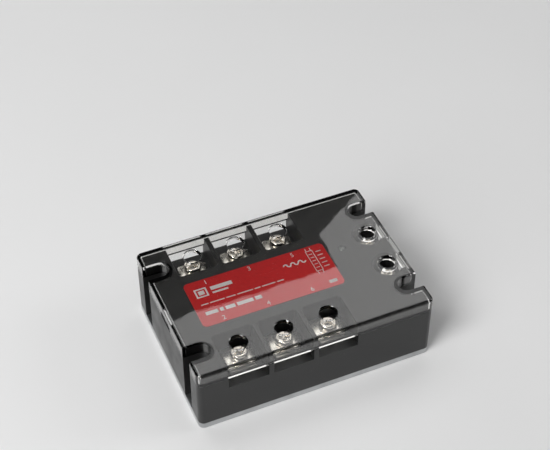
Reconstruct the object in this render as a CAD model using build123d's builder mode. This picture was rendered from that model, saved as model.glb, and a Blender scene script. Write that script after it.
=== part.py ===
from build123d import *
import os

os.makedirs("parts", exist_ok=True)

# Three-phase solid state relay, flat panel-mount type: an aluminium base plate, a black
# housing with open terminal bays, and a clear cover over everything.
# Millimetres, +Z up. The origin is the centre of the base plate's underside, X runs along
# the two rows of power terminals, and the control terminals are at the +X end.

# Overall body
body_length = 105.0
body_width = 74.0
total_height = 33.0
corner_r = 2.5
base_thickness = 3.0

# Mounting slots, measured from the end faces and from the side faces
slot_inset_x = 6.5
slot_inset_y = 13.0
plate_slot_w = 5.0
plate_slot_len = 8.0
slot_w = 8.2

# Clear cover
cover_plate = 1.8
cover_edge_r = 1.1
cover_inner_r = 0.6
skirt_depth = 6.5
skirt_wall = 1.6
curtain_wall = 1.2
fit_gap = 0.15
cover_gap = 0.4
collar_wall = 1.0
collar_drop = 0.8
rim_chamfer = 0.25
pry_notch_w = 10.0
pry_notch_h = 2.5

# Housing
roof_thickness = 1.8
upper_wall = 2.0
upper_corner_r = 1.0
bay_wall = 2.0
edge_chamfer = 0.3
label_thickness = 0.2
label_length = 63.7
label_inset_x = 12.3
label_to_bay = 5.35
label_corner_r = 2.0

# Power terminals: two rows of three
terminal_pitch = 19.8
first_inset_x = 21.9
row_inset = 11.0
bay_width = 17.6
bay_inner = 8.0
bay_corner_r = 1.5
power_floor_block = 7.2
strip_thickness = 1.5
strip_width = 11.0
strip_outer = 4.6
strip_leg = 6.4
strip_foot = 13.5
strip_bend_r = 1.0
access_r = 3.75
line_turns = (-7.0, -8.0, -6.0)
load_turns = (-1.0, -6.0, -5.0)

# M4 clamp screws with spring washer, clamp plate and captive nut
m4_head_depth = 6.1
m4_head_r = 3.65
m4_head_h = 2.4
m4_shank_r = 1.95
m4_shank_len = 8.5
m4_washer_r = 3.9
m4_washer_t = 0.8
m4_nut_flats = 7.0
m4_nut_h = 3.2
m4_clamp_w = 12.6
m4_clamp_d = 7.2
m4_clamp_flat = 7.6
m4_clamp_t = 1.0
m4_wing_drop = 0.5

# Control terminals: two, at the +X end
control_inset_x = 8.3
control_pitch = 19.4
control_bay_r = 6.3
control_entry_w = 9.0
control_floor_block = 5.4
tab_thickness = 1.0
tab_width = 7.0
tab_outer = 5.6
tab_leg = 4.4
tab_leg_w = 2.4
control_access_r = 3.5
control_turns = (4.0, -3.0)

# M3 clamp screws
m3_head_depth = 7.5
m3_head_r = 2.85
m3_head_h = 2.2
m3_shank_r = 1.45
m3_shank_len = 6.9
m3_washer_r = 2.95
m3_washer_t = 0.7
m3_nut_flats = 5.5
m3_nut_h = 2.4
m3_clamp_w = 7.4
m3_clamp_d = 6.4
m3_clamp_flat = 5.8
m3_clamp_t = 0.8
m3_wing_drop = 0.8

# Driver recess, edge round and point of both screw sizes, and the split of their washers
recess_share = 0.3
cross_share = 1.25
slot_depth_share = 0.33
cross_depth_share = 0.6
cross_taper = 8.0
head_round_share = 0.33
point_share = 0.25
split_gap_share = 0.33
split_slant = 25.0
power_slot_turns = (33.0, 72.0, 114.0)
control_slot_turns = (60.0, -45.0)

# Clearances round screws, nuts and strips
screw_hole_gap = 0.25
clamp_hole_gap = 0.08
thread_gap = 0.05
nut_gap = 0.1
strip_gap = 0.15
tip_gap = 0.4

# Power stage on the base plate
substrate_w = 15.6
substrate_t = 1.0
substrate_margin = 1.0
copper_t = 0.3
copper_w = 10.4
island_w = 1.8
island_len = 5.0
island_x = 6.7
copper_gap = 2.0
die_size = 4.8
die_t = 0.4
die_x = 2.6
die_y = 7.0
strap_w = 3.0
strap_t = 0.5
strap_rise = 1.6
gate_pin_r = 0.4
potting_depth = 5.0

# Control electronics
board_gap = 2.0
board_thickness = 1.6
board_edge_gap = 0.7
board_inset_x = 14.0
board_overhang = 2.0
opto_size = (7.3, 6.5, 3.5)
opto_y = 5.0
resistor_r = 1.15
resistor_len = 6.2
resistor_x = 4.9
capacitor_size = (12.5, 5.0, 10.0)
capacitor_corner_r = 1.0
capacitor_y = -9.0
led_x_inset = 21.8
led_y = 6.3
led_r = 1.5
led_flange_r = 1.9
led_body_h = 4.6
led_flange_h = 0.9
led_round_r = 0.9
led_lead_r = 0.25
led_lead_pitch = 2.54

# Places and levels that follow from the sizes above
half_length = body_length / 2
half_width = body_width / 2
slot_x = half_length - slot_inset_x
slot_y = half_width - slot_inset_y
row_y = half_width - row_inset
terminal_x = [-half_length + first_inset_x + i * terminal_pitch for i in range(3)]
control_x = half_length - control_inset_x
control_y = (control_pitch / 2, -control_pitch / 2)
led_x = half_length - led_x_inset

plate_under = total_height - cover_plate
roof_z = plate_under - cover_gap
roof_under = roof_z - roof_thickness
ledge_z = total_height - skirt_depth
upper_inset = skirt_wall + fit_gap
cavity_inset = upper_inset + upper_wall
m4_head_z = total_height - m4_head_depth - m4_head_h
m4_clamp_z = m4_head_z - m4_washer_t - m4_clamp_t
strip_top = m4_clamp_z - m4_wing_drop
power_floor = strip_top - strip_thickness
power_block_z = power_floor - power_floor_block
m3_head_z = total_height - m3_head_depth - m3_head_h
m3_clamp_z = m3_head_z - m3_washer_t - m3_clamp_t
tab_top = m3_clamp_z - m3_wing_drop
control_floor = tab_top - tab_thickness
control_block_z = control_floor - control_floor_block
board_top = control_block_z - board_gap
board_under = board_top - board_thickness
substrate_top = base_thickness + substrate_t
copper_top = substrate_top + copper_t
bay_inner_y = row_y - bay_inner
upper_cavity_y = bay_inner_y - bay_wall
control_block_x = control_x - control_bay_r - bay_wall
slot_block_x = slot_x - slot_w / 2 - curtain_wall - fit_gap - bay_wall
slot_block_y = slot_y - slot_w / 2 - curtain_wall - fit_gap - bay_wall


def power_station(x, side):
    """Work plane on a power screw's axis, at z = 0, with its local +Y pointing out of the body."""
    return Plane(origin=(x, side * row_y, 0), x_dir=(side, 0, 0), z_dir=(0, 0, 1))


def control_station(y):
    """Work plane on a control screw's axis, at z = 0, with its local +Y pointing out of the +X end."""
    return Plane(origin=(control_x, y, 0), x_dir=(0, -1, 0), z_dir=(0, 0, 1))


def section_along(station):
    """Upright plane through a station: local X points out of the body, local Y points up."""
    return Plane(origin=station.origin, x_dir=station.y_dir, z_dir=station.x_dir)


def section_across(station):
    """Upright plane through a station: local X runs along the wall, local Y points up."""
    return Plane(origin=station.origin, x_dir=station.x_dir, z_dir=-station.y_dir)


line_stations = [power_station(x, 1) for x in terminal_x]
load_stations = [power_station(x, -1) for x in terminal_x]
power_stations = line_stations + load_stations
control_stations = [control_station(y) for y in control_y]


def save(part, name):
    """Label a finished piece and write it as its own file."""
    part.label = name
    export_step(part, f"parts/{name}.step")


def u_slots(width, reach):
    """Sketch the four U-shaped mounting slots, from their arc centres out by the reach."""
    for x_sign in (-1, 1):
        for y_sign in (-1, 1):
            with Locations((x_sign * slot_x, y_sign * slot_y)):
                Circle(width / 2)
            with Locations((x_sign * (slot_x + reach / 2), y_sign * slot_y)):
                Rectangle(reach, width)


def corner_blocks():
    """Sketch the four solid corners that the mounting slots are cut in, to take them out of a cavity."""
    block_l = half_length - slot_block_x
    block_w = half_width - slot_block_y
    with GridLocations(2 * (slot_block_x + block_l / 2), 2 * (slot_block_y + block_w / 2), 2, 2):
        Rectangle(block_l, block_w, mode=Mode.SUBTRACT)


# --- base plate: the heat-spreading aluminium plate, with a closed slot for each mounting screw
with BuildPart() as base_plate:
    with BuildSketch():
        RectangleRounded(body_length, body_width, corner_r)
        with GridLocations(2 * slot_x, 2 * slot_y, 2, 2):
            SlotOverall(plate_slot_len, plate_slot_w, mode=Mode.SUBTRACT)
    extrude(amount=base_thickness)
    chamfer(base_plate.faces().sort_by(Axis.Z)[0].outer_wire().edges(), length=edge_chamfer)
save(base_plate.part, "base_plate")


# --- housing: the black shell, stepped at the ledge that the cover's skirt stands on
with BuildPart() as housing:
    with BuildSketch(Plane.XY.offset(base_thickness)):
        RectangleRounded(body_length, body_width, corner_r)
    extrude(amount=ledge_z - base_thickness)
    with BuildSketch(Plane.XY.offset(ledge_z)):
        RectangleRounded(body_length - 2 * upper_inset, body_width - 2 * upper_inset, upper_corner_r)
    extrude(amount=roof_z - ledge_z)

    # Lower cavity, under the terminal bays
    with BuildSketch(Plane.XY.offset(base_thickness)):
        Rectangle(body_length - 2 * cavity_inset, body_width - 2 * cavity_inset)
        corner_blocks()
    extrude(amount=power_block_z - base_thickness, mode=Mode.SUBTRACT)

    # Upper cavity: the middle channel, and the pockets between the last bays and the slots
    last_bay_x = terminal_x[-1] + bay_width / 2 + bay_wall
    cavity_end = -half_length + cavity_inset
    pocket_outer_y = half_width - cavity_inset
    with BuildSketch(Plane.XY.offset(power_block_z)):
        with Locations(((control_block_x + cavity_end) / 2, 0)):
            Rectangle(control_block_x - cavity_end, 2 * upper_cavity_y)
        pocket_l = control_block_x - last_bay_x
        pocket_w = pocket_outer_y - upper_cavity_y
        for side in (-1, 1):
            with Locations((last_bay_x + pocket_l / 2, side * (upper_cavity_y + pocket_w / 2))):
                Rectangle(pocket_l, pocket_w)
    extrude(amount=roof_under - power_block_z, mode=Mode.SUBTRACT)

    # Room under the control bays for the circuit board's end
    with BuildSketch(Plane.XY.offset(power_block_z)):
        with Locations(((control_block_x + half_length - cavity_inset) / 2, 0)):
            Rectangle(half_length - cavity_inset - control_block_x, 2 * slot_block_y)
    extrude(amount=control_block_z - power_block_z, mode=Mode.SUBTRACT)

    # Power bays, open at the top and at the side face
    bay_reach = bay_inner + row_inset + bay_corner_r
    for station in power_stations:
        with BuildSketch(station.offset(power_floor)):
            with Locations((0, bay_reach / 2 - bay_inner)):
                RectangleRounded(bay_width, bay_reach, bay_corner_r)
            with Locations((0, row_inset)):
                Rectangle(bay_width, 2 * bay_corner_r)
        extrude(amount=roof_z - power_floor, mode=Mode.SUBTRACT)
        leg_slot = strip_thickness + strip_bend_r + 2 * strip_gap
        with BuildSketch(station.offset(power_block_z)):
            with Locations((0, -strip_leg + strip_bend_r + strip_gap - leg_slot / 2)):
                Rectangle(strip_width + 2 * strip_gap, leg_slot)
        extrude(amount=power_floor_block, mode=Mode.SUBTRACT)
        with BuildSketch(station.offset(power_floor - m4_nut_h)):
            RegularPolygon(m4_nut_flats / 2 + nut_gap, 6, major_radius=False)
        extrude(amount=m4_nut_h, mode=Mode.SUBTRACT)
        with BuildSketch(station.offset(m4_head_z - m4_shank_len - tip_gap)):
            Circle(m4_shank_r + screw_hole_gap)
        extrude(amount=power_floor - (m4_head_z - m4_shank_len - tip_gap), mode=Mode.SUBTRACT)

    # Control bays: round wells with a wire entry through the +X face
    for station in control_stations:
        with BuildSketch(station.offset(control_floor)):
            Circle(control_bay_r)
            with Locations((0, control_inset_x / 2 + corner_r / 2)):
                Rectangle(control_entry_w, control_inset_x + corner_r)
        extrude(amount=roof_z - control_floor, mode=Mode.SUBTRACT)
        tab_slot = tab_thickness + strip_bend_r + 2 * strip_gap
        with BuildSketch(station.offset(control_block_z)):
            with Locations((0, -tab_leg + strip_bend_r + strip_gap - tab_slot / 2)):
                Rectangle(tab_width + 2 * strip_gap, tab_slot)
        extrude(amount=control_floor_block, mode=Mode.SUBTRACT)
        with BuildSketch(station.offset(control_floor - m3_nut_h)):
            RegularPolygon(m3_nut_flats / 2 + nut_gap, 6, major_radius=False)
        extrude(amount=m3_nut_h, mode=Mode.SUBTRACT)
        with BuildSketch(station.offset(m3_head_z - m3_shank_len - tip_gap)):
            Circle(m3_shank_r + screw_hole_gap)
        extrude(amount=control_floor - (m3_head_z - m3_shank_len - tip_gap), mode=Mode.SUBTRACT)

    # Mounting slots: narrow below the ledge, wider above it for the cover's curtains
    with BuildSketch(Plane.XY.offset(base_thickness)):
        u_slots(slot_w, slot_inset_x + corner_r)
    extrude(amount=roof_z - base_thickness, mode=Mode.SUBTRACT)
    with BuildSketch(Plane.XY.offset(ledge_z)):
        u_slots(slot_w + 2 * (curtain_wall + fit_gap), slot_inset_x + corner_r)
    extrude(amount=roof_z - ledge_z, mode=Mode.SUBTRACT)

    # Window for the indicator
    with BuildSketch(Plane.XY.offset(roof_under)):
        with Locations((led_x, led_y)):
            Circle(led_r + fit_gap)
    extrude(amount=roof_thickness, mode=Mode.SUBTRACT)

    chamfer(housing.faces().sort_by(Axis.Z)[-1].edges(), length=edge_chamfer)
save(housing.part, "housing")


# --- cover: clear plate with a skirt, curtains round the slots and a collar at each control screw
with BuildPart() as cover:
    with BuildSketch(Plane.XY.offset(ledge_z)):
        RectangleRounded(body_length, body_width, corner_r)
    extrude(amount=skirt_depth)
    fillet(cover.faces().sort_by(Axis.Z)[-1].edges(), radius=cover_edge_r)
    with BuildSketch(Plane.XY.offset(ledge_z)):
        inner_l = body_length - 2 * skirt_wall
        inner_w = body_width - 2 * skirt_wall
        RectangleRounded(inner_l, inner_w, corner_r - skirt_wall)
    extrude(amount=skirt_depth - cover_plate, mode=Mode.SUBTRACT)
    ceiling = cover.faces().filter_by_position(Axis.Z, plate_under - fit_gap, plate_under + fit_gap)
    fillet(ceiling.edges(), radius=cover_inner_r)
    with BuildSketch(Plane.XY.offset(ledge_z)):
        u_slots(slot_w + 2 * curtain_wall, slot_inset_x)
    extrude(amount=skirt_depth - cover_plate)
    for station in control_stations:
        with BuildSketch(station.offset(plate_under - collar_drop)):
            Circle(control_access_r + collar_wall)
        extrude(amount=collar_drop + cover_plate / 2)
        with BuildSketch(station.offset(plate_under - collar_drop)):
            Circle(control_access_r)
        extrude(amount=collar_drop + cover_plate, mode=Mode.SUBTRACT)
    for station in power_stations:
        with BuildSketch(station.offset(plate_under)):
            Circle(access_r)
        extrude(amount=cover_plate, mode=Mode.SUBTRACT)
    with BuildSketch(Plane.XY.offset(ledge_z)):
        u_slots(slot_w, slot_inset_x + corner_r)
    extrude(amount=skirt_depth, mode=Mode.SUBTRACT)
    top_face = cover.faces().sort_by(Axis.Z)[-1]
    chamfer(top_face.inner_wires().edges(), length=rim_chamfer)
    with BuildSketch(Plane.XY.offset(ledge_z)):
        with GridLocations(2 * half_length, 0, 2, 1):
            Rectangle(4 * skirt_wall, pry_notch_w)
    extrude(amount=pry_notch_h, mode=Mode.SUBTRACT)
save(cover.part, "cover")


# --- label on the housing's roof, between the two rows of bays
label_width = 2 * (bay_inner_y - label_to_bay)
with BuildPart() as label:
    with BuildSketch(Plane.XY.offset(roof_z)):
        with Locations((-half_length + label_inset_x + label_length / 2, 0)):
            RectangleRounded(label_length, label_width, label_corner_r)
    extrude(amount=label_thickness)
save(label.part, "label")


# --- power terminals: tinned copper strips, a pad in the bay and a leg down to the power stage
def power_terminal(station):
    with BuildPart() as terminal:
        with BuildSketch(section_along(station)):
            with BuildLine():
                FilletPolyline(
                    (strip_outer, power_floor),
                    (-strip_leg, power_floor),
                    (-strip_leg, copper_top),
                    (-strip_foot, copper_top),
                    radius=[strip_bend_r, strip_bend_r + strip_thickness],
                )
                offset(amount=strip_thickness, side=Side.RIGHT)
            make_face()
        extrude(amount=strip_width / 2, both=True)
        with BuildSketch(station.offset(power_floor)):
            Circle(m4_shank_r + screw_hole_gap)
        extrude(amount=strip_thickness, mode=Mode.SUBTRACT)
        with BuildSketch(station.offset(copper_top)):
            with Locations((0, -strip_leg - (strip_foot - strip_leg) / 2)):
                Rectangle(strip_width, strip_foot - strip_leg)
                Rectangle(copper_w, strip_foot - strip_leg, mode=Mode.SUBTRACT)
        extrude(amount=power_floor_block, mode=Mode.SUBTRACT)
    return terminal.part


# --- control terminals: narrower strips whose legs end in the circuit board
def control_terminal(station):
    with BuildPart() as terminal:
        with BuildSketch(section_along(station)):
            with BuildLine():
                FilletPolyline(
                    (tab_outer, control_floor),
                    (-tab_leg, control_floor),
                    (-tab_leg, board_under - board_thickness),
                    radius=strip_bend_r,
                )
                offset(amount=tab_thickness, side=Side.RIGHT)
            make_face()
        extrude(amount=tab_width / 2, both=True)
        with BuildSketch(station.offset(control_block_z)):
            with Locations((0, -tab_leg)):
                Rectangle(2 * tab_width, 4 * tab_thickness)
                Rectangle(tab_leg_w, 4 * tab_thickness, mode=Mode.SUBTRACT)
        extrude(amount=board_under - board_thickness - control_block_z, mode=Mode.SUBTRACT)
        with BuildSketch(station.offset(control_floor)):
            Circle(m3_shank_r + screw_hole_gap)
        extrude(amount=tab_thickness, mode=Mode.SUBTRACT)
    return terminal.part


# --- clamp plates: saddles whose wings come down on both sides of the screw
def clamp_plate(station, turn, plate_z, width, depth, flat, thickness, drop, hole_r):
    turned = station.rotated((0, 0, turn))
    with BuildPart() as clamp:
        with BuildSketch(section_across(turned)):
            with BuildLine():
                Polyline(
                    (-width / 2, plate_z - drop),
                    (-flat / 2, plate_z),
                    (flat / 2, plate_z),
                    (width / 2, plate_z - drop),
                )
                offset(amount=thickness, side=Side.LEFT)
            make_face()
        extrude(amount=depth / 2, both=True)
        with BuildSketch(turned.offset(plate_z - drop)):
            RectangleRounded(width, depth, thickness)
            Circle(hole_r, mode=Mode.SUBTRACT)
        extrude(amount=drop + thickness, mode=Mode.INTERSECT)
    return clamp.part


# --- pan-head screws with a cross recess and a driver slot
def clamp_screw(station, turn, head_z, head_r, head_h, shank_r, shank_len):
    recess_w = head_r * recess_share
    cross_len = head_r * cross_share
    with BuildPart() as screw:
        with BuildSketch(station.offset(head_z)):
            Circle(head_r)
        extrude(amount=head_h)
        fillet(screw.edges().sort_by(Axis.Z)[-1], radius=head_h * head_round_share)
        with BuildSketch(station.offset(head_z - shank_len)):
            Circle(shank_r)
        extrude(amount=shank_len)
        chamfer(screw.edges().sort_by(Axis.Z)[0], length=shank_r * point_share)
        with BuildSketch(station.offset(head_z + head_h)):
            Rectangle(2 * head_r + recess_w, recess_w, rotation=turn)
        extrude(amount=-head_h * slot_depth_share, mode=Mode.SUBTRACT)
        with BuildSketch(station.offset(head_z + head_h)):
            Rectangle(recess_w, cross_len, rotation=turn)
            Rectangle(cross_len, recess_w, rotation=turn)
        extrude(amount=-head_h * cross_depth_share, taper=cross_taper, mode=Mode.SUBTRACT)
    return screw.part


# --- spring washers: split rings under the screw heads
def spring_washer(station, turn, bottom_z, outer_r, inner_r, thickness):
    with BuildPart() as washer:
        with BuildSketch(station.offset(bottom_z)):
            Circle(outer_r)
            Circle(inner_r, mode=Mode.SUBTRACT)
            with PolarLocations((outer_r + inner_r) / 2, 1, start_angle=turn):
                Rectangle(outer_r, thickness * split_gap_share, rotation=split_slant, mode=Mode.SUBTRACT)
        extrude(amount=thickness)
    return washer.part


rows = (("line", line_stations, line_turns), ("load", load_stations, load_turns))
for row, stations, turns in rows:
    places = zip(stations, turns, power_slot_turns)
    for number, (station, turn, slot_turn) in enumerate(places, start=1):
        save(power_terminal(station), f"{row}_terminal_{number}")
        save(clamp_plate(station, turn, m4_clamp_z, m4_clamp_w, m4_clamp_d, m4_clamp_flat,
                         m4_clamp_t, m4_wing_drop, m4_shank_r + clamp_hole_gap),
             f"{row}_clamp_{number}")
        save(clamp_screw(station, slot_turn, m4_head_z, m4_head_r, m4_head_h, m4_shank_r,
                         m4_shank_len),
             f"{row}_screw_{number}")
        save(spring_washer(station, slot_turn, m4_head_z - m4_washer_t, m4_washer_r,
                           m4_shank_r + thread_gap, m4_washer_t),
             f"{row}_washer_{number}")

poles = zip(("plus", "minus"), control_stations, control_turns, control_slot_turns)
for pole, station, turn, slot_turn in poles:
    save(control_terminal(station), f"control_terminal_{pole}")
    save(clamp_plate(station, turn, m3_clamp_z, m3_clamp_w, m3_clamp_d, m3_clamp_flat,
                     m3_clamp_t, m3_wing_drop, m3_shank_r + clamp_hole_gap),
         f"control_clamp_{pole}")
    save(clamp_screw(station, slot_turn, m3_head_z, m3_head_r, m3_head_h, m3_shank_r,
                     m3_shank_len),
         f"control_screw_{pole}")
    save(spring_washer(station, slot_turn, m3_head_z - m3_washer_t, m3_washer_r,
                       m3_shank_r + thread_gap, m3_washer_t),
         f"control_washer_{pole}")


# --- captive nuts under the terminal pads
def nut_group(stations, top_z, flats, height, bore_r):
    with BuildPart() as nuts:
        for station in stations:
            with BuildSketch(station.offset(top_z - height)):
                RegularPolygon(flats / 2, 6, major_radius=False)
                Circle(bore_r, mode=Mode.SUBTRACT)
            extrude(amount=height)
    return nuts.part


save(nut_group(power_stations, power_floor, m4_nut_flats, m4_nut_h, m4_shank_r + thread_gap),
     "power_nuts")
save(nut_group(control_stations, control_floor, m3_nut_flats, m3_nut_h, m3_shank_r + thread_gap),
     "control_nuts")


# --- power stage: for each phase, a ceramic substrate with copper lands, two dies and two straps
substrate_half = row_y - strip_leg + substrate_margin
substrates = []
for number, x in enumerate(terminal_x, start=1):
    with BuildPart() as substrate:
        with BuildSketch(Plane.XY.offset(base_thickness)):
            with Locations((x, 0)):
                Rectangle(substrate_w, 2 * substrate_half)
        extrude(amount=substrate_t)
        land_l = substrate_half - substrate_margin / 2 - copper_gap / 2
        with BuildSketch(Plane.XY.offset(substrate_top)):
            with Locations((x, 0)):
                with GridLocations(0, copper_gap + land_l, 1, 2):
                    Rectangle(copper_w, land_l)
            with Locations((x - island_x, die_y), (x + island_x, -die_y)):
                Rectangle(island_w, island_len)
        extrude(amount=copper_t)
    save(substrate.part, f"substrate_{number}")
    substrates.append(substrate.part)

die_places = [(x - die_x, die_y) for x in terminal_x] + [(x + die_x, -die_y) for x in terminal_x]
with BuildPart() as thyristor_dies:
    with BuildSketch(Plane.XY.offset(copper_top)):
        with Locations(*die_places):
            Rectangle(die_size, die_size)
    extrude(amount=die_t)
save(thyristor_dies.part, "thyristor_dies")

with BuildPart() as die_straps:
    for x, y in die_places:
        away = 1 if y > 0 else -1
        strap_plane = Plane(origin=(x, 0, 0), x_dir=(0, away, 0), z_dir=(away, 0, 0))
        die_top = copper_top + die_t
        arch_z = die_top + strap_rise
        strap_land = die_size / 2 + copper_gap
        with BuildSketch(strap_plane):
            with BuildLine():
                Polyline(
                    (die_y + strap_w / 2, die_top),
                    (die_y - strap_w / 2, die_top),
                    (die_y - strap_w, arch_z),
                    (-copper_gap, arch_z),
                    (-copper_gap - strap_t, copper_top),
                    (-strap_land - strap_t, copper_top),
                )
                offset(amount=strap_t, side=Side.RIGHT)
            make_face()
        extrude(amount=strap_w / 2, both=True)
save(die_straps.part, "die_straps")

gate_places = [(x - island_x, die_y) for x in terminal_x] + [(x + island_x, -die_y) for x in terminal_x]
with BuildPart() as gate_pins:
    with BuildSketch(Plane.XY.offset(copper_top)):
        with Locations(*gate_places):
            Circle(gate_pin_r)
    extrude(amount=board_top + 2 * gate_pin_r - copper_top)
save(gate_pins.part, "gate_pins")


# --- circuit board, and what is soldered on it
board_left = -half_length + board_inset_x
board_right = control_x - tab_leg + board_overhang
tab_leg_x = control_x - tab_leg - tab_thickness / 2
led_lead_places = [(led_x, led_y - led_lead_pitch / 2), (led_x, led_y + led_lead_pitch / 2)]
with BuildPart() as circuit_board:
    with BuildSketch(Plane.XY.offset(board_under)):
        with Locations(((board_left + board_right) / 2, 0)):
            Rectangle(board_right - board_left, 2 * (upper_cavity_y - board_edge_gap))
        with Locations(*gate_places):
            Circle(gate_pin_r + thread_gap, mode=Mode.SUBTRACT)
        with Locations(*[(tab_leg_x, y) for y in control_y]):
            Rectangle(tab_thickness + 2 * thread_gap, tab_leg_w + 2 * thread_gap, mode=Mode.SUBTRACT)
        with Locations(*led_lead_places):
            Circle(led_lead_r + thread_gap, mode=Mode.SUBTRACT)
    extrude(amount=board_thickness)
save(circuit_board.part, "circuit_board")

with BuildPart() as optocouplers:
    with BuildSketch(Plane.XY.offset(board_top)):
        with Locations(*[(x, opto_y) for x in terminal_x]):
            Rectangle(opto_size[0], opto_size[1])
    extrude(amount=opto_size[2])
save(optocouplers.part, "optocouplers")

with BuildPart() as gate_resistors:
    for x in terminal_x:
        for step in (-resistor_x, resistor_x):
            lying = Plane(origin=(x + step, opto_y - resistor_len / 2, board_top + resistor_r),
                          x_dir=(1, 0, 0), z_dir=(0, 1, 0))
            with BuildSketch(lying):
                Circle(resistor_r)
            extrude(amount=resistor_len)
save(gate_resistors.part, "gate_resistors")

with BuildPart() as snubber_capacitors:
    with BuildSketch(Plane.XY.offset(board_top)):
        with Locations(*[(x, capacitor_y) for x in terminal_x]):
            RectangleRounded(capacitor_size[0], capacitor_size[1], capacitor_corner_r)
    extrude(amount=capacitor_size[2])
save(snubber_capacitors.part, "snubber_capacitors")

with BuildPart() as indicator_led:
    with BuildSketch(Plane.XY.offset(roof_z - led_body_h)):
        with Locations((led_x, led_y)):
            Circle(led_r)
    extrude(amount=led_body_h)
    fillet(indicator_led.edges().sort_by(Axis.Z)[-1], radius=led_round_r)
    with BuildSketch(Plane.XY.offset(roof_z - led_body_h)):
        with Locations((led_x, led_y)):
            Circle(led_flange_r)
    extrude(amount=led_flange_h)
save(indicator_led.part, "indicator_led")

with BuildPart() as led_leads:
    with BuildSketch(Plane.XY.offset(board_under - board_thickness / 2)):
        with Locations(*led_lead_places):
            Circle(led_lead_r)
    extrude(amount=roof_z - led_body_h - board_under + board_thickness / 2)
save(led_leads.part, "led_leads")


# --- potting compound: fills the bottom of the housing round the power stage
with BuildPart() as potting:
    with BuildSketch(Plane.XY.offset(base_thickness)):
        Rectangle(body_length - 2 * cavity_inset, body_width - 2 * cavity_inset)
        corner_blocks()
    extrude(amount=potting_depth)
    for buried in substrates + [thyristor_dies.part, die_straps.part, gate_pins.part]:
        add(buried, mode=Mode.SUBTRACT)
    for station in power_stations:
        add(power_terminal(station), mode=Mode.SUBTRACT)
save(potting.part, "potting")
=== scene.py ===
import math

import bmesh
import bpy
from mathutils import Euler, Matrix, Vector


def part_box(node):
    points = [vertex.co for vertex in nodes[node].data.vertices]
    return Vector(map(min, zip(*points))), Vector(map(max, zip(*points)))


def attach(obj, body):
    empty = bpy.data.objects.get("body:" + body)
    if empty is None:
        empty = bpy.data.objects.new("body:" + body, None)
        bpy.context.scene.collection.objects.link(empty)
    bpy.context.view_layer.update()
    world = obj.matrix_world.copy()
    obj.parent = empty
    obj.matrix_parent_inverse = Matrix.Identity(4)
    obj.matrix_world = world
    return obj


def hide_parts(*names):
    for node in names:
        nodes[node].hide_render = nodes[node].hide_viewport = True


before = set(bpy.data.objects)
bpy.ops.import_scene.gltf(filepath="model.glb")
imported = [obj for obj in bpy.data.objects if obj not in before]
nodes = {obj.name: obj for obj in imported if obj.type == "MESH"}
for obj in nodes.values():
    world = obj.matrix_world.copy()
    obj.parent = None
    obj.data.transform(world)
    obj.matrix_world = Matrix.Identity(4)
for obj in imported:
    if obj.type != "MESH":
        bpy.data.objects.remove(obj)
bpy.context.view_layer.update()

# Three-phase solid state relay: an aluminium base plate, a black housing with eight screw
# terminals, a red label and a clear snap-on cover. Metres, +Z up.

MM = 0.001


# --- finishes ------------------------------------------------------------------------------


class Wire:
    """An output of a node. Arithmetic on it adds Math nodes."""

    def __init__(self, finish, socket):
        self.finish = finish
        self.socket = socket

    def maths(self, operation, *values):
        inputs = dict(enumerate(values))
        return self.finish.node("ShaderNodeMath", {"operation": operation}, inputs)

    def __add__(self, other):
        return self.maths("ADD", self, other)

    def __mul__(self, other):
        return self.maths("MULTIPLY", self, other)

    __radd__ = __add__
    __rmul__ = __mul__


class Finish:
    """One material under construction."""

    def __init__(self, name):
        self.material = bpy.data.materials.new(name)
        self.material.use_nodes = True
        self.tree = self.material.node_tree
        self.tree.nodes.clear()
        self.place = self.node("ShaderNodeTexCoord", output="Object")

    def node(self, kind, settings=None, inputs=None, output=0):
        """A node of that kind: its settings, then the values or wires of its inputs."""
        made = self.tree.nodes.new(kind)
        for key, value in (settings or {}).items():
            setattr(made, key, value)
        for key, value in (inputs or {}).items():
            if isinstance(value, Wire):
                self.tree.links.new(value.socket, made.inputs[key])
            else:
                made.inputs[key].default_value = value
        return Wire(self, made.outputs[output])

    def stretched(self, *scale):
        """The object's coordinates, stretched along the axes."""
        return self.node("ShaderNodeMapping", inputs={"Vector": self.place, "Scale": scale})

    def noise(self, size, detail=2.0, roughness=0.5, place=None):
        """Fractal noise from 0 to 1 whose largest grains are about that size."""
        inputs = {
            "Vector": place or self.place,
            "Scale": 1 / size,
            "Detail": detail,
            "Roughness": roughness,
        }
        return self.node("ShaderNodeTexNoise", inputs=inputs)

    def cells(self, size):
        """Distance to the nearest of points that are scattered about that far apart."""
        inputs = {"Vector": self.place, "Scale": 1 / size}
        return self.node("ShaderNodeTexVoronoi", {"feature": "F1"}, inputs)

    def weave(self, size, direction, distortion):
        """Slightly wavy threads of that size, side by side along X or Y."""
        settings = {"wave_type": "BANDS", "bands_direction": direction, "wave_profile": "TRI"}
        inputs = {"Vector": self.place, "Scale": 1 / size, "Distortion": distortion}
        return self.node("ShaderNodeTexWave", settings, inputs)

    def spread(self, value, low, high, to_low=0.0, to_high=1.0):
        """value, stretched from one range to another and held inside it."""
        inputs = {0: value, 1: low, 2: high, 3: to_low, 4: to_high}
        return self.node("ShaderNodeMapRange", {"clamp": True}, inputs)

    def blend(self, factor, first, second):
        """A colour between two colours."""
        settings = {"data_type": "RGBA", "clamp_factor": True}
        return self.node("ShaderNodeMix", settings, {0: factor, 6: first, 7: second}, 2)

    def bump(self, height, depth, strength=1.0):
        """A normal that follows a height, where a height of 1 stands that far out."""
        inputs = {"Strength": strength, "Distance": depth, "Height": height}
        return self.node("ShaderNodeBump", inputs=inputs)

    def surface(self, **sockets):
        """Ends the material with one Principled shader."""
        inputs = {key.replace("_", " "): value for key, value in sockets.items()}
        shader = self.node("ShaderNodeBsdfPrincipled", inputs=inputs, output="BSDF")
        end = self.tree.nodes.new("ShaderNodeOutputMaterial")
        self.tree.links.new(shader.socket, end.inputs["Surface"])
        return self.material


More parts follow.
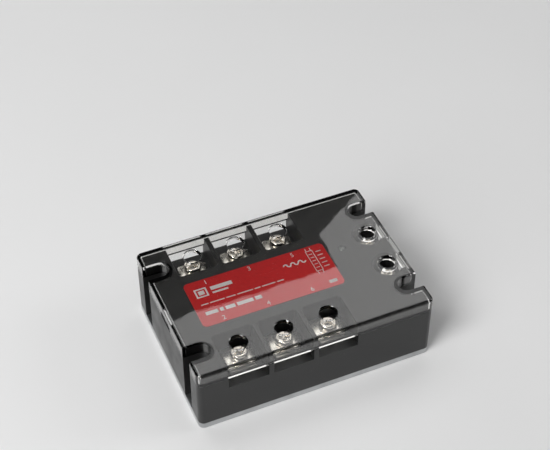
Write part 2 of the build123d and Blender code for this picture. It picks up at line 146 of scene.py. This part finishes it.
def rgb(red, green, blue):
    return (red, green, blue, 1.0)


def grey(value):
    return rgb(value, value, value)


def moulded_plastic(name, dark, light, gloss):
    """Spark-eroded moulded plastic: fine grain, cloudy gloss, and a little dust."""
    f = Finish(name)
    pits = f.noise(0.16 * MM, detail=3.0, roughness=0.6)
    cloud = f.noise(9 * MM, detail=4.0, roughness=0.55)
    specks = f.spread(f.cells(2.3 * MM), 0.055, 0.03)
    tone = f.blend(f.spread(cloud, 0.3, 0.75), dark, light)
    return f.surface(
        Base_Color=f.blend(specks * 0.35, tone, grey(0.35)),
        Roughness=f.spread(cloud + pits * 0.25, 0.4, 0.8, *gloss),
        Normal=f.bump(pits, depth=0.010 * MM, strength=0.6),
    )


def brushed_metal(name, tone, gloss, along):
    """Drawn or rolled metal: fine streaks along the given axis, faint stains between them."""
    f = Finish(name)
    stretch = [1.0 if axis == along else 28.0 for axis in "xyz"]
    streaks = f.noise(3 * MM, detail=4.0, roughness=0.65, place=f.stretched(*stretch))
    stains = f.noise(7 * MM, detail=3.0, roughness=0.5)
    dull = rgb(*(0.72 * part for part in tone[:3]))
    return f.surface(
        Base_Color=f.blend(f.spread(stains * 0.6 + streaks * 0.4, 0.35, 0.65), dull, tone),
        Metallic=1.0,
        Roughness=f.spread(streaks, 0.3, 0.7, *gloss),
        Normal=f.bump(streaks, depth=0.006 * MM, strength=0.5),
    )


def plated_metal(name, tone, stain, gloss):
    """Plated steel or tinned copper: soft orange peel, cloudy gloss and small dull spots."""
    f = Finish(name)
    peel = f.noise(0.5 * MM, detail=3.0, roughness=0.55)
    cloud = f.noise(2.6 * MM, detail=4.0, roughness=0.6)
    spots = f.spread(f.cells(0.9 * MM), 0.16, 0.06)
    return f.surface(
        Base_Color=f.blend(f.spread(cloud, 0.4, 0.75) * 0.6 + spots * 0.3, tone, stain),
        Metallic=1.0,
        Roughness=f.spread(cloud + spots * 0.3, 0.3, 0.95, *gloss),
        Normal=f.bump(peel, depth=0.012 * MM, strength=0.55),
    )


def clear_plastic(name):
    """Clear polycarbonate: a polished sheet with faint flow waves and a few fine scuffs."""
    f = Finish(name)
    waves = f.noise(11 * MM, detail=2.0, roughness=0.4)
    scratches = f.noise(0.25 * MM, detail=2.0, roughness=0.5, place=f.stretched(1.0, 9.0, 9.0))
    scuffs = f.spread(scratches, 0.72, 0.8)
    return f.surface(
        Base_Color=rgb(0.97, 0.965, 0.95),
        Roughness=f.spread(scuffs, 0.0, 1.0, 0.012, 0.09),
        IOR=1.57,
        Transmission_Weight=1.0,
        Normal=f.bump(waves, depth=0.03 * MM, strength=0.35),
    )


def label_film(name):
    """Red metallised film: ink with a soft mottle, a satin varnish and a fine weave of pits."""
    f = Finish(name)
    mottle = f.noise(1.4 * MM, detail=4.0, roughness=0.6)
    pits = f.noise(0.12 * MM, detail=2.0, roughness=0.5)
    deep, bright = rgb(0.64, 0.011, 0.013), rgb(0.72, 0.015, 0.017)
    return f.surface(
        Base_Color=f.blend(f.spread(mottle, 0.3, 0.7), deep, bright),
        Metallic=0.6,
        Roughness=f.spread(pits + mottle * 0.5, 0.45, 0.95, 0.26, 0.38),
        Coat_Weight=0.25,
        Normal=f.bump(pits, depth=0.005 * MM, strength=0.5),
    )


def printed_ink(name, tone):
    """White screen ink: slightly uneven cover, with pinholes that let the film through."""
    f = Finish(name)
    cover = f.noise(0.3 * MM, detail=3.0, roughness=0.6)
    pinhole = rgb(tone[0], 0.7 * tone[1], 0.7 * tone[2])
    return f.surface(
        Base_Color=f.blend(f.spread(cover, 0.25, 0.45), pinhole, tone),
        Roughness=f.spread(cover, 0.3, 0.7, 0.35, 0.5),
        Normal=f.bump(cover, depth=0.004 * MM),
    )


def laminate(name):
    """Green board laminate: solder mask over glass weave, with copper tracks under it."""
    f = Finish(name)
    warp = f.weave(2.4 * MM, "X", distortion=0.6)
    weft = f.weave(2.4 * MM, "Y", distortion=0.6)
    streaks = f.noise(4 * MM, detail=1.0, roughness=0.3, place=f.stretched(0.35, 2.2, 1.0))
    tracks = f.spread(streaks, 0.52, 0.56)
    mask = f.blend(warp * weft * 0.6, rgb(0.010, 0.085, 0.030), rgb(0.016, 0.125, 0.045))
    return f.surface(
        Base_Color=f.blend(tracks, mask, rgb(0.030, 0.190, 0.060)),
        Roughness=f.spread(weft, 0.0, 1.0, 0.28, 0.4),
        Normal=f.bump(tracks + warp * 0.1, depth=0.03 * MM),
    )


def cast_material(name, dark, light, gloss, grain, height=0.02 * MM):
    """A dull cast, fired or dipped material with a cloudy tone and a pebbled skin."""
    f = Finish(name)
    pebbles = f.noise(grain, detail=4.0, roughness=0.6)
    cloud = f.noise(5 * MM, detail=3.0, roughness=0.5)
    return f.surface(
        Base_Color=f.blend(f.spread(cloud * 0.6 + pebbles * 0.4, 0.3, 0.7), dark, light),
        Roughness=f.spread(pebbles, 0.2, 0.8, gloss - 0.08, gloss + 0.1),
        Normal=f.bump(pebbles, depth=height),
    )


def lamp_lens(name):
    """Tinted diffused epoxy of an indicator that isn't lit."""
    f = Finish(name)
    haze = f.noise(0.6 * MM, detail=3.0, roughness=0.6)
    deep, pale = rgb(0.045, 0.060, 0.050), rgb(0.075, 0.095, 0.080)
    return f.surface(
        Base_Color=f.blend(f.spread(haze, 0.3, 0.7), deep, pale),
        Roughness=f.spread(haze, 0.2, 0.8, 0.12, 0.24),
        Coat_Weight=0.6,
        Normal=f.bump(haze, depth=0.01 * MM, strength=0.4),
    )


finishes = {
    "base_metal": brushed_metal(
        "base plate aluminium", tone=rgb(0.60, 0.61, 0.62), gloss=(0.26, 0.46), along="x",
    ),
    "housing_plastic": moulded_plastic(
        "housing black plastic", dark=grey(0.010), light=grey(0.018), gloss=(0.28, 0.42),
    ),
    "cover_clear": clear_plastic("clear cover plastic"),
    "label_film": label_film("red label film"),
    "terminal_tinned": plated_metal(
        "tinned terminal strip",
        tone=rgb(0.58, 0.56, 0.52), stain=rgb(0.34, 0.32, 0.28), gloss=(0.28, 0.5),
    ),
    "clamp_steel": plated_metal(
        "nickel clamp plate",
        tone=rgb(0.90, 0.87, 0.81), stain=rgb(0.62, 0.57, 0.49), gloss=(0.22, 0.40),
    ),
    "screw_steel": plated_metal(
        "nickel screw",
        tone=rgb(0.88, 0.84, 0.77), stain=rgb(0.58, 0.52, 0.44), gloss=(0.17, 0.34),
    ),
    "washer_steel": plated_metal(
        "spring washer steel",
        tone=rgb(0.55, 0.53, 0.49), stain=rgb(0.34, 0.31, 0.27), gloss=(0.26, 0.46),
    ),
    "nut_steel": plated_metal(
        "zinc nut",
        tone=rgb(0.62, 0.62, 0.62), stain=rgb(0.40, 0.39, 0.37), gloss=(0.28, 0.5),
    ),
    "substrate_ceramic": cast_material(
        "alumina substrate", dark=grey(0.62), light=grey(0.78), gloss=0.55, grain=0.3 * MM,
    ),
    "die_silicon": cast_material(
        "silicon die",
        dark=rgb(0.05, 0.05, 0.06), light=rgb(0.10, 0.10, 0.12),
        gloss=0.25, grain=0.8 * MM, height=0.002 * MM,
    ),
    "strap_copper": plated_metal(
        "copper strap",
        tone=rgb(0.80, 0.40, 0.25), stain=rgb(0.42, 0.19, 0.11), gloss=(0.2, 0.45),
    ),
    "pin_tinned": plated_metal(
        "tinned pin",
        tone=rgb(0.72, 0.71, 0.68), stain=rgb(0.46, 0.44, 0.40), gloss=(0.2, 0.4),
    ),
    "board_laminate": laminate("green board laminate"),
    "component_black": cast_material(
        "black epoxy component",
        dark=grey(0.012), light=grey(0.022), gloss=0.5, grain=0.14 * MM,
    ),
    "component_beige": cast_material(
        "beige resistor lacquer",
        dark=rgb(0.46, 0.34, 0.19), light=rgb(0.58, 0.44, 0.26), gloss=0.4, grain=0.5 * MM,
    ),
    "component_yellow": cast_material(
        "yellow capacitor epoxy",
        dark=rgb(0.55, 0.36, 0.04), light=rgb(0.68, 0.46, 0.07), gloss=0.4, grain=0.6 * MM,
    ),
    "led_lens": lamp_lens("indicator lens"),
    "potting_compound": cast_material(
        "potting compound",
        dark=grey(0.02), light=grey(0.035), gloss=0.3, grain=3 * MM, height=0.05 * MM,
    ),
}
print_white = printed_ink("white print", tone=rgb(0.90, 0.89, 0.88))

for node in nodes.values():
    slot_name = node.data.materials[0].name
    node.data.materials.clear()
    node.data.materials.append(finishes[slot_name])


def object_of(name, mesh, material):
    """A shown object that holds a finished mesh."""
    mesh.materials.clear()
    mesh.materials.append(material)
    made = bpy.data.objects.new(name, mesh)
    bpy.context.scene.collection.objects.link(made)
    return made


# --- terminal hardware: edges rounded by pressing and plating, and threads on the screws ------

SHARP = math.radians(30)
FLAT = math.radians(1)
MERGE_GAP = 0.001 * MM
TOUCH = 0.01 * MM

# How far back each part's sharp edges are rounded.
CLAMP_EDGE = 0.14 * MM
TERMINAL_EDGE = 0.12 * MM
WASHER_EDGE = 0.1 * MM
SCREW_EDGE = 0.05 * MM

# The crest radius, root radius and pitch of the power and control screws' threads.
M4 = (1.95 * MM, 1.62 * MM, 0.7 * MM)
M3 = (1.45 * MM, 1.19 * MM, 0.5 * MM)
STEPS_PER_TURN = 20
PLAIN_TIP = 0.3 * MM


def merged_copy(name):
    """A part's mesh with its loose triangles joined into whole faces."""
    bm = bmesh.new()
    bm.from_mesh(nodes[name].data)
    bmesh.ops.remove_doubles(bm, verts=bm.verts, dist=MERGE_GAP)
    bmesh.ops.dissolve_limit(bm, angle_limit=FLAT, verts=bm.verts, edges=bm.edges)
    return bm


def round_edges(bm, width):
    """Rounds every sharp edge."""
    sharp = [edge for edge in bm.edges if edge.calc_face_angle(0.0) > SHARP]
    bmesh.ops.bevel(
        bm, geom=sharp, offset=width, offset_type="OFFSET", affect="EDGES",
        segments=2, profile=0.5, material=-1, clamp_overlap=True,
    )


def add_thread(bm, axis, low, high, thread):
    """A closed helical ridge that stands on a screw's core."""
    crest, root, pitch = thread
    inside = root - 0.1 * pitch
    # The ridge's section over one pitch: radius, and height as a share of the pitch.
    section = (
        (inside, 0.0), (root, 0.05), (crest, 0.4), (crest, 0.52), (root, 0.87), (inside, 0.92),
    )
    verts = [bm.verts.new((axis.x + r, axis.y, low + share * pitch)) for r, share in section]
    edges = [bm.edges.new((verts[i - 1], verts[i])) for i in range(len(verts))]
    turns = (high - low) / pitch - 1
    steps = round(turns * STEPS_PER_TURN)
    bmesh.ops.spin(
        bm, geom=verts + edges, cent=axis, axis=(0, 0, 1),
        angle=steps * 2 * math.pi / STEPS_PER_TURN, steps=steps,
        dvec=Vector((0, 0, pitch / STEPS_PER_TURN)), use_merge=False,
    )
    ends = [edge for edge in bm.edges if edge.is_boundary]
    bmesh.ops.holes_fill(bm, edges=ends, sides=len(section))


def show_in_place(name, body, bm, slot_name):
    """Shows a finished mesh in place of a part."""
    bmesh.ops.recalc_face_normals(bm, faces=bm.faces)
    mesh = bpy.data.meshes.new(f"{name}_finished")
    bm.to_mesh(mesh)
    bm.free()
    mesh.shade_smooth()
    mesh.set_sharp_from_angle(angle=SHARP)
    piece = object_of(f"{name}_finished", mesh, finishes[slot_name])
    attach(piece, body)
    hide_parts(name)


def rounded_part(name, body, width, slot_name):
    """A part as it stands, with its edges rounded."""
    bm = merged_copy(name)
    round_edges(bm, width)
    show_in_place(name, body, bm, slot_name)


def threaded_screw(name, thread):
    """A clamp screw: its head as it stands, and a threaded shank in place of the plain one."""
    crest, root = thread[:2]
    low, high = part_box(name)
    axis = Vector(((low.x + high.x) / 2, (low.y + high.y) / 2, 0.0))
    shank_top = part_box(name.replace("screw", "washer"))[1].z + TOUCH
    bm = merged_copy(name)
    shank = [
        vert for vert in bm.verts
        if (vert.co.xy - axis.xy).length < crest + TOUCH and vert.co.z < shank_top
    ]
    shrink = root / crest
    to_axis = Matrix.Translation(-axis)
    bmesh.ops.scale(bm, vec=(shrink, shrink, 1.0), space=to_axis, verts=shank)
    round_edges(bm, SCREW_EDGE)
    add_thread(bm, axis, low.z + PLAIN_TIP, shank_top, thread)
    show_in_place(name, name, bm, "screw_steel")


for number in ("1", "2", "3", "plus", "minus"):
    for row in ("line", "load") if number.isdigit() else ("control",):
        clamp, terminal = f"{row}_clamp_{number}", f"{row}_terminal_{number}"
        washer, screw = f"{row}_washer_{number}", f"{row}_screw_{number}"
        rounded_part(clamp, clamp, CLAMP_EDGE, "clamp_steel")
        rounded_part(washer, screw, WASHER_EDGE, "washer_steel")
        rounded_part(terminal, "relay", TERMINAL_EDGE, "terminal_tinned")
        threaded_screw(screw, M4 if number.isdigit() else M3)

# --- label print, in millimetres from the label's middle -------------------------------------

label_low, label_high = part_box("label")
label_middle = (label_low + label_high) / 2
INK = 0.02 * MM
WAVE_STEPS = 14
FIGURE_SHARE = 0.7      # a figure's height as a share of its type size
NUMBER_HEIGHT = 2.3
NUMBER_ROW = 10.6

SMALL_WORDS = (3.2, 6.4, 4.1, 7.0, 2.6, 6.0, 3.0)
LARGE_WORDS = (5.4, 1.6, 4.2, 7.2, 2.9)


def add_bar(bm, x, y, length, width):
    """A flat bar of ink, from its left end."""
    size = Matrix.Diagonal((length * MM, width * MM, INK, 1.0))
    middle = Vector(((x + length / 2) * MM, y * MM, INK / 2))
    bmesh.ops.create_cube(bm, size=1.0, matrix=Matrix.Translation(middle) @ size)


def add_frame(bm, x, y, length, width, line):
    """A rectangle drawn with a line, round a middle point."""
    for side in (-1, 1):
        add_bar(bm, x - length / 2, y + side * (width - line) / 2, length, line)
        add_bar(bm, x + side * (length - line) / 2 - line / 2, y, line, width - 2 * line)


def add_words(bm, x, y, lengths, width, gap):
    """A line of bars, one for each word."""
    for length in lengths:
        add_bar(bm, x, y, length, width)
        x += length + gap


def add_wave(bm, x, y, radius, line):
    """One period of a wave, drawn as two half rings."""
    for side in (-1, 1):
        centre = Vector(((x + side * radius) * MM, y * MM, 0.0))
        inner = bm.verts.new(centre + Vector(((radius - line / 2) * MM, 0, INK)))
        outer = bm.verts.new(centre + Vector(((radius + line / 2) * MM, 0, INK)))
        edge = bm.edges.new((inner, outer))
        bmesh.ops.spin(
            bm, geom=[inner, outer, edge], cent=centre, axis=(0, 0, 1),
            angle=side * -math.pi, steps=WAVE_STEPS, use_merge=False,
        )


def add_circuit(bm):
    """A generic circuit sketch: a tall box of strokes with a lead at each corner."""
    middle_x, middle_y = 24.8, 4.0
    add_frame(bm, middle_x, middle_y, length=3.2, width=12.4, line=0.3)
    for step in range(5):
        add_bar(bm, 24.0, 8.0 - 2.0 * step, length=1.6, width=0.35)
        add_bar(bm, 27.4, 8.6 - 2.3 * step, length=2.4, width=0.45)
    for side in (-1, 1):
        add_bar(bm, 23.6, middle_y + side * 7.0, length=0.3, width=1.6)
        add_bar(bm, 25.7, middle_y + side * 7.0, length=0.3, width=1.6)


def text_mesh(words, height):
    """Letters as a solid mesh in the ink's thickness, centred on their own middle."""
    curve = bpy.data.curves.new(words, "FONT")
    curve.body = words
    curve.size = height * MM / FIGURE_SHARE
    curve.align_x = "CENTER"
    curve.align_y = "CENTER"
    curve.extrude = INK / 2
    curve.resolution_u = 4
    holder = bpy.data.objects.new(words, curve)
    bpy.context.scene.collection.objects.link(holder)
    bpy.context.view_layer.update()
    shown = holder.evaluated_get(bpy.context.evaluated_depsgraph_get())
    mesh = bpy.data.meshes.new_from_object(shown)
    bpy.data.objects.remove(holder)
    bpy.data.curves.remove(curve)
    return mesh


def numbers():
    """The terminal numbers beside the label's edges, each in line with its terminal."""
    for row, first in (("line", 1), ("load", 2)):
        for index in range(3):
            low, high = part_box(f"{row}_screw_{index + 1}")
            middle = (low + high) / 2
            side = 1 if middle.y > label_middle.y else -1
            place = Vector((middle.x - label_middle.x, side * NUMBER_ROW * MM, INK / 2))
            yield text_mesh(str(first + 2 * index), NUMBER_HEIGHT), place


def label_print():
    """Everything printed on the label: generic marks, a circuit sketch and terminal numbers."""
    bm = bmesh.new()
    add_frame(bm, -26.0, 5.6, length=5.4, width=5.0, line=0.7)
    add_bar(bm, -27.3, 5.6, length=2.6, width=2.2)
    add_bar(bm, -21.6, 6.5, length=9.6, width=2.0)
    add_bar(bm, -21.6, 4.0, length=7.0, width=1.0)
    add_words(bm, -28.6, -0.9, SMALL_WORDS, width=0.55, gap=0.8)
    add_words(bm, -28.5, -6.0, LARGE_WORDS, width=1.9, gap=0.9)
    for step in range(3):
        add_wave(bm, 13.0 + 3.4 * step, 5.7, radius=0.8, line=0.65)
    add_circuit(bm)
    add_bar(bm, 25.6, -9.7, length=3.6, width=1.7)
    for mesh, place in numbers():
        mesh.transform(Matrix.Translation(place))
        bm.from_mesh(mesh)
        bpy.data.meshes.remove(mesh)
    bmesh.ops.recalc_face_normals(bm, faces=bm.faces)
    on_label = Vector((label_middle.x, label_middle.y, label_high.z))
    bmesh.ops.translate(bm, vec=on_label, verts=bm.verts)
    mesh = bpy.data.meshes.new("label_print")
    bm.to_mesh(mesh)
    bm.free()
    piece = object_of("label_print", mesh, print_white)
    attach(piece, "relay")


label_print()

# --- floor, light and camera ---------------------------------------------------------------

FLOOR_REACH = 4.0
FLOOR_GAP = 0.05 * MM
ROOM = grey(0.04)
RELAY_MIDDLE = (0.0, 0.0, 0.02)
FILL_SIZE = 0.45
PANEL_HEIGHT = 0.9
PANEL_GLOW = 1.28
PANEL_CORNERS = (
    (-0.50, 0.20), (0.80, 0.20), (0.80, 1.05), (0.403, 0.795), (0.400, 0.731), (-0.50, 0.731),
)
CAMERA_PLACE = (-0.15817, -0.35893, 0.45152)
CAMERA_TILT = math.radians(45.29)
CAMERA_TURN = math.radians(-23.32)
SENSOR_WIDTH = 36.0
FOCAL_LENGTH = 89.5


def floor():
    """A wide pale floor, just clear of the base plate."""
    bm = bmesh.new()
    bmesh.ops.create_grid(bm, x_segments=1, y_segments=1, size=FLOOR_REACH)
    mesh = bpy.data.meshes.new("floor")
    bm.to_mesh(mesh)
    bm.free()
    f = Finish("pale floor")
    tone = f.blend(f.noise(0.15, detail=3.0, roughness=0.5), grey(0.80), grey(0.84))
    made = object_of("floor", mesh, f.surface(Base_Color=tone, Roughness=0.7))
    made.location.z = -FLOOR_GAP


def soft_light(name, place, target, width, height, radiance):
    """A flat soft light of that radiance, turned to a point."""
    lamp = bpy.data.lights.new(name, "AREA")
    lamp.shape = "RECTANGLE"
    lamp.size = width
    lamp.size_y = height
    lamp.energy = radiance * math.pi * width * height
    made = bpy.data.objects.new(name, lamp)
    made.location = place
    made.rotation_euler = (Vector(target) - Vector(place)).to_track_quat("-Z", "Y").to_euler()
    made.visible_camera = False
    bpy.context.scene.collection.objects.link(made)


def fill_light(name, place, radiance):
    """A weaker square light, turned to the relay's middle."""
    soft_light(name, place, RELAY_MIDDLE, FILL_SIZE, FILL_SIZE, radiance)


def soft_panel():
    """A level glowing panel above and behind the relay. Its back corner is cut away."""
    bm = bmesh.new()
    bm.faces.new([bm.verts.new((x, y, PANEL_HEIGHT)) for x, y in PANEL_CORNERS])
    mesh = bpy.data.meshes.new("soft_panel")
    bm.to_mesh(mesh)
    bm.free()
    glow = Finish("panel glow").surface(
        Base_Color=grey(0.0), Emission_Color=grey(1.0), Emission_Strength=PANEL_GLOW,
    )
    made = object_of("soft_panel", mesh, glow)
    made.visible_camera = False


def studio():
    """A dim room: a key light high on the left, three fills, and a panel that the cover mirrors."""
    world = bpy.data.worlds.new("studio")
    world.use_nodes = True
    world.node_tree.nodes["Background"].inputs["Color"].default_value = ROOM
    bpy.context.scene.world = world
    soft_light(
        "key", (-0.75, -0.35, 0.9), target=(0.0, 0.0, 0.0),
        width=0.55, height=0.45, radiance=12.5,
    )
    fill_light("fill_left", (-0.8, -0.5, 0.5), radiance=3.6)
    fill_light("fill_right", (0.9, -0.2, 0.5), radiance=3.6)
    soft_panel()
    fill_light("fill_back", (-0.3, 1.0, 0.3), radiance=2.5)
    bpy.context.scene.view_settings.view_transform = "Standard"


def camera():
    """A long lens from above the front left corner."""
    lens = bpy.data.cameras.new("camera")
    lens.sensor_width = SENSOR_WIDTH
    lens.lens = FOCAL_LENGTH
    made = bpy.data.objects.new("camera", lens)
    made.location = CAMERA_PLACE
    made.rotation_euler = Euler((CAMERA_TILT, 0.0, CAMERA_TURN))
    bpy.context.scene.collection.objects.link(made)
    bpy.context.scene.camera = made


floor()
studio()
camera()
